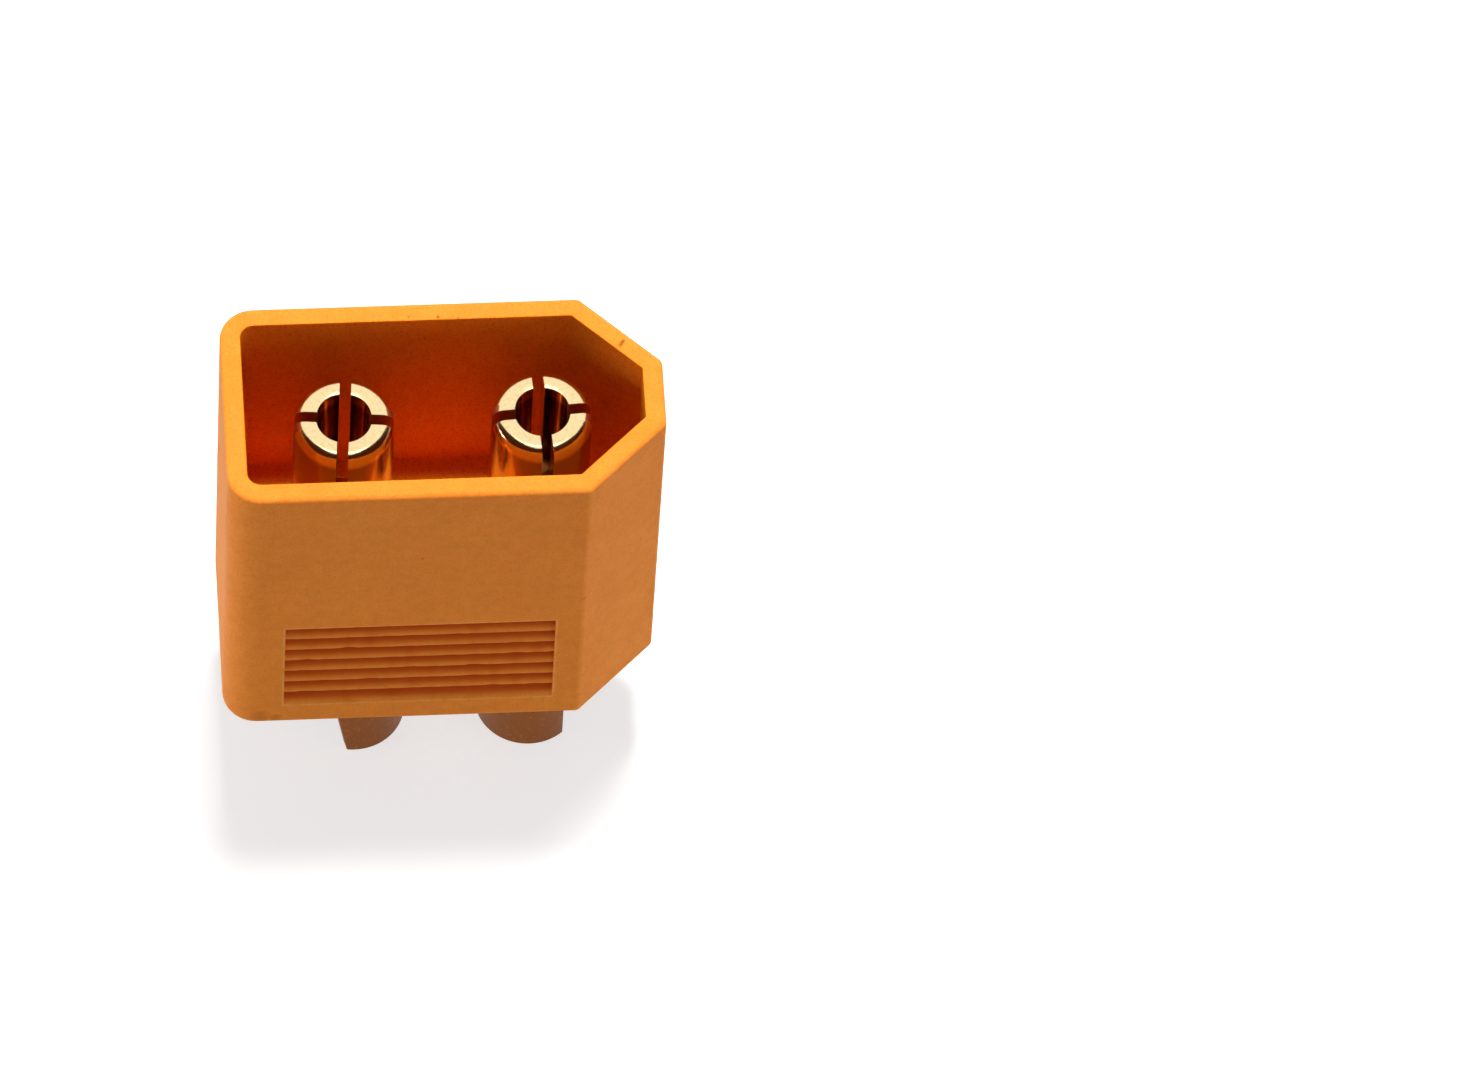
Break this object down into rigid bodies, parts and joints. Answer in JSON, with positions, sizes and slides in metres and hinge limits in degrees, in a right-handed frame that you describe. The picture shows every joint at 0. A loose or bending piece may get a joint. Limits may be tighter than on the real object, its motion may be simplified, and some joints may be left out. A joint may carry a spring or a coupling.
{
  "type": "battery lead connector",
  "caption": "Shrouded half of a polarised battery lead connector: amber nylon housing with a pointed side, gold split bullet pins in its cavity and solder cups behind.",
  "frame": {"origin": "under the middle of the pair of contacts, in the plane of the solder cups' ends", "axes": "+Z out of the mouth along the pins, +X towards the pointed side, +Y towards the rear broad face"},
  "size_m": [0.016, 0.0082, 0.022],
  "materials": {
    "amber_nylon": "moulded nylon, finely textured, slight gloss",
    "gold_plate": "gold-plated turned brass, duller on the solder cups"
  },
  "bodies": {
    "root": {"housing": "amber_nylon", "contact_positive": "gold_plate", "contact_negative": "gold_plate"}
  },
  "joints": []
}
